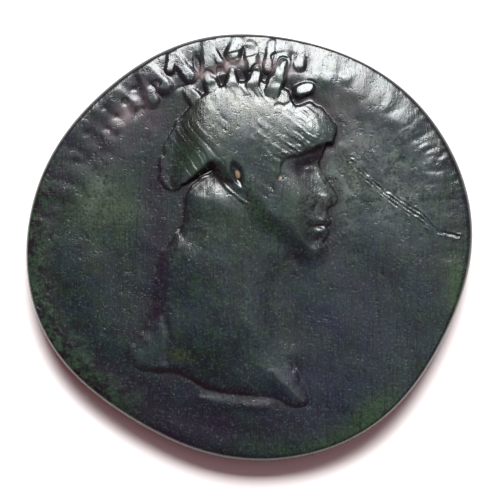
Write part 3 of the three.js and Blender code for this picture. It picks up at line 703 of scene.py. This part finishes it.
def patinatedOrichalcum():
    material = bpy.data.materials.new("patinatedOrichalcum")
    material.use_nodes = True
    tree = material.node_tree
    tree.nodes.clear()
    out = addNode(tree, "ShaderNodeOutputMaterial")
    place = addNode(tree, "ShaderNodeTexCoord")
    inMm = addNode(tree, "ShaderNodeVectorMath", {"operation": "SCALE", "Scale": 1 / mm},
                   {0: place.outputs["Object"]})

    def cloud(size, detail, seed, stretch=(1, 1, 1), turn=0.0):
        shift = {"Location": (seed, seed * 0.7, seed * 1.3), "Scale": stretch, "Rotation": (0, 0, turn)}
        moved = addNode(tree, "ShaderNodeMapping", shift, {"Vector": inMm.outputs[0]})
        return addNode(tree, "ShaderNodeTexNoise", {"Scale": 1 / size, "Detail": detail, "Roughness": 0.6},
                       {"Vector": moved.outputs[0]}).outputs["Fac"]

    def ramp(value, low=0.0, high=1.0, top=1.0):
        limits = {"interpolation_type": "SMOOTHSTEP", "From Min": low, "From Max": high, "To Max": top}
        return addNode(tree, "ShaderNodeMapRange", limits, {"Value": value}).outputs["Result"]

    def mixed(factor, first, second):
        node = addNode(tree, "ShaderNodeMix", {"data_type": "RGBA"}, {0: factor})
        for socket, colour in ((6, first), (7, second)):
            if isinstance(colour, int):
                node.inputs[socket].default_value = linear(colour)
            else:
                tree.links.new(colour, node.inputs[socket])
        return node.outputs[2]

    def product(first, second):
        return addNode(tree, "ShaderNodeMath", {"operation": "MULTIPLY"}, {0: first, 1: second}).outputs[0]

    def reading(name):
        return addNode(tree, "ShaderNodeAttribute", {"attribute_name": name}).outputs["Fac"]

    worn = reading("worn")
    stretch = (1, patina["streakStretch"], 1)
    streaks = cloud(patina["streakWidth"], 3, 7.0, stretch, patina["streakTurn"])  # wiping marks, up and down
    fine = cloud(patina["grainSize"], 6, 17.0)
    mottle = cloud(patina["mottleSize"], 5, 0.0)
    colour = mixed(ramp(mottle, *patina["greyRange"]), patina["dark"], patina["grey"])
    greens, blues = cloud(patina["fineSize"], 6, 11.0), cloud(patina["fineSize"], 6, 14.0)
    colour = mixed(ramp(greens, *patina["greenRange"]), colour, patina["green"])
    colour = mixed(ramp(blues, *patina["blueRange"]), colour, patina["blue"])
    # the violet clouds are partly painted shade
    for name in ("green", "blue", "violetAndShade", "olive"):
        colour = mixed(reading(name), colour, patina[name])
    lumps = cloud(patina["crustSize"], 5, 39.0)
    crust = mixed(ramp(lumps, *patina["crustRange"]), patina["dirtAndShade"], patina["crust"])
    colour = mixed(reading("crust"), colour, crust)
    colour = mixed(ramp(streaks, *patina["streakRange"]), colour, patina["dirtAndShade"])
    # painted sheen: pale clouds laid into the colour where the field catches the light, broken up by noise
    sheenNoise = cloud(patina["sheenSize"], 5, 45.0)
    paintedSheen = product(ramp(reading("paintedSheen")), ramp(sheenNoise, *patina["sheenRange"]))
    colour = mixed(paintedSheen, colour, patina["paintedSheen"])
    colour = mixed(ramp(fine, *patina["darkGrainRange"]), colour, patina["dirtAndShade"])
    # dirt and painted shade: broad hollows darkened
    colour = mixed(ramp(reading("hollow"), *patina["hollowRange"]), colour, patina["dirtAndShade"])
    dust = product(ramp(reading("dust")), ramp(worn, *patina["dustRange"]))
    colour = mixed(dust, colour, patina["dust"])
    colour = mixed(ramp(worn, *patina["wornRange"]), colour, patina["wornMetalAndGlint"])
    # pale specks of worn metal, partly painted glints
    colour = mixed(ramp(fine, *patina["glintSpeckRange"]), colour, patina["wornMetalAndGlint"])
    # dirt and painted shade: creases at the foot of the relief darkened
    colour = mixed(ramp(reading("crevice"), *patina["creviceRange"]), colour, patina["dirtAndShade"])
    colour = mixed(ramp(reading("earth"), *patina["earthRange"]), colour, patina["earth"])
    finish = {"To Min": patina["roughness"], "To Max": patina["dullRoughness"]}
    dull = addNode(tree, "ShaderNodeMapRange", finish, {"Value": dust})
    # raised specks that catch the light keep to scattered places
    glints = product(ramp(cloud(patina["speckSize"], 3, 27.0), *patina["speckRange"]),
                     ramp(cloud(patina["scatterSize"], 3, 33.0), *patina["scatterRange"]))
    pits = ramp(cloud(patina["pitSize"], 3, 21.0), *patina["pitRange"])
    grain = cloud(patina["grainSize"], 5, 3.0)
    relief = None
    for height, depth in ((pits, patina["pitDepth"]),
                          (ramp(streaks, *patina["lineRange"]), patina["lineDepth"]),
                          (glints, patina["speckDepth"]), (grain, patina["grainDepth"])):
        links = {"Height": height}
        if relief:
            links["Normal"] = relief
        raised = addNode(tree, "ShaderNodeBump", {"Strength": 1.0, "Distance": depth * mm}, links)
        relief = raised.outputs["Normal"]
    shader = addNode(tree, "ShaderNodeBsdfPrincipled", {"Metallic": patina["metallic"]},
                     {"Base Color": colour, "Roughness": dull.outputs["Result"], "Normal": relief})
    tree.links.new(shader.outputs[0], out.inputs["Surface"])
    return material


coin = buildCoin()
bpy.context.scene.collection.objects.link(coin)
coin.data.materials.append(patinatedOrichalcum())
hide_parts("coin")
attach(coin, "root")
print("coin placed")

# white sheet under the coin, softbox to the north, weak warm fill all round,
# dark overhead with a pale glow to the north east that the flat metal mirrors
studio = {
    "floorHalf": 900, "floor": 0xF2F0EF, "floorRoughness": 0.9,
    "fill": (0.21, 0.075, 0.085, 1.0), "overhead": (0.03, 0.04, 0.05, 1.0),
    "overheadFrom": 0.88, "overheadTo": 0.985,
    "glow": (1.20, 1.28, 1.30, 1.0), "glowAzimuth": 60, "glowFrom": -0.10, "glowTo": 0.22,
    "boxDistance": 350, "boxElevation": 54, "boxAzimuth": 4, "boxWidth": 190, "boxHeight": 140,
    "boxPower": 2.7,
}
floorMesh = bpy.data.meshes.new("whiteSheet")
half = studio["floorHalf"] * mm
corners = [(-half, -half, 0), (half, -half, 0), (half, half, 0), (-half, half, 0)]
floorMesh.from_pydata(corners, [], [(0, 1, 2, 3)])
floor = bpy.data.objects.new("whiteSheet", floorMesh)
bpy.context.scene.collection.objects.link(floor)
whitePaper = bpy.data.materials.new("mattWhiteCard")
whitePaper.use_nodes = True
cardShader = whitePaper.node_tree.nodes["Principled BSDF"]
cardShader.inputs["Base Color"].default_value = linear(studio["floor"])
cardShader.inputs["Roughness"].default_value = studio["floorRoughness"]
floorMesh.materials.append(whitePaper)

world = bpy.data.worlds.new("roomFill")
world.use_nodes = True
sky = world.node_tree
around = addNode(sky, "ShaderNodeTexCoord").outputs["Generated"]
direction = addNode(sky, "ShaderNodeSeparateXYZ", {}, {0: around})
climb = {"interpolation_type": "SMOOTHSTEP", "From Min": studio["overheadFrom"],
         "From Max": studio["overheadTo"]}
height = addNode(sky, "ShaderNodeMapRange", climb, {"Value": direction.outputs["Z"]})
side = math.radians(studio["glowAzimuth"])
facing = {"operation": "DOT_PRODUCT", 1: (math.sin(side), math.cos(side), 0)}
towards = addNode(sky, "ShaderNodeVectorMath", facing, {0: around})
spread = {"interpolation_type": "SMOOTHSTEP", "From Min": studio["glowFrom"], "From Max": studio["glowTo"]}
growth = addNode(sky, "ShaderNodeMapRange", spread, {"Value": towards.outputs["Value"]})
above = addNode(sky, "ShaderNodeMix", {"data_type": "RGBA", 6: studio["overhead"], 7: studio["glow"]},
                {0: growth.outputs["Result"]})
shade = addNode(sky, "ShaderNodeMix", {"data_type": "RGBA", 6: studio["fill"]},
                {0: height.outputs["Result"], 7: above.outputs[2]})
sky.links.new(shade.outputs[2], sky.nodes["Background"].inputs["Color"])
bpy.context.scene.world = world

boxData = bpy.data.lights.new("softbox", "AREA")
boxData.shape = "RECTANGLE"
boxData.size, boxData.size_y = studio["boxWidth"] * mm, studio["boxHeight"] * mm
boxData.energy = studio["boxPower"]
softbox = bpy.data.objects.new("softbox", boxData)
up, aside = math.radians(studio["boxElevation"]), math.radians(studio["boxAzimuth"])
toBox = Vector((math.sin(aside) * math.cos(up), math.cos(aside) * math.cos(up), math.sin(up)))
softbox.location = toBox * studio["boxDistance"] * mm
softbox.rotation_euler = toBox.to_track_quat("Z", "Y").to_euler()
bpy.context.scene.collection.objects.link(softbox)
print("studio lit")

# camera almost straight above, a little to the south, framed as wide as the coin and its shadow
lens = {"distance": 120, "elevation": 86, "seenWidth": 31.48, "sensor": 36, "aim": (0.03, -0.20, 1.3),
        "near": 5, "far": 5000}
cameraData = bpy.data.cameras.new("camera")
cameraData.sensor_width = lens["sensor"]
cameraData.lens = lens["sensor"] * lens["distance"] / lens["seenWidth"]
cameraData.clip_start, cameraData.clip_end = lens["near"] * mm, lens["far"] * mm
camera = bpy.data.objects.new("camera", cameraData)
tilt = math.radians(lens["elevation"])
back = Vector((0.0, -math.cos(tilt), math.sin(tilt)))
camera.location = (Vector(lens["aim"]) + back * lens["distance"]) * mm
camera.rotation_euler = back.to_track_quat("Z", "Y").to_euler()
bpy.context.scene.collection.objects.link(camera)
bpy.context.scene.camera = camera
bpy.context.scene.view_settings.view_transform = "Standard"
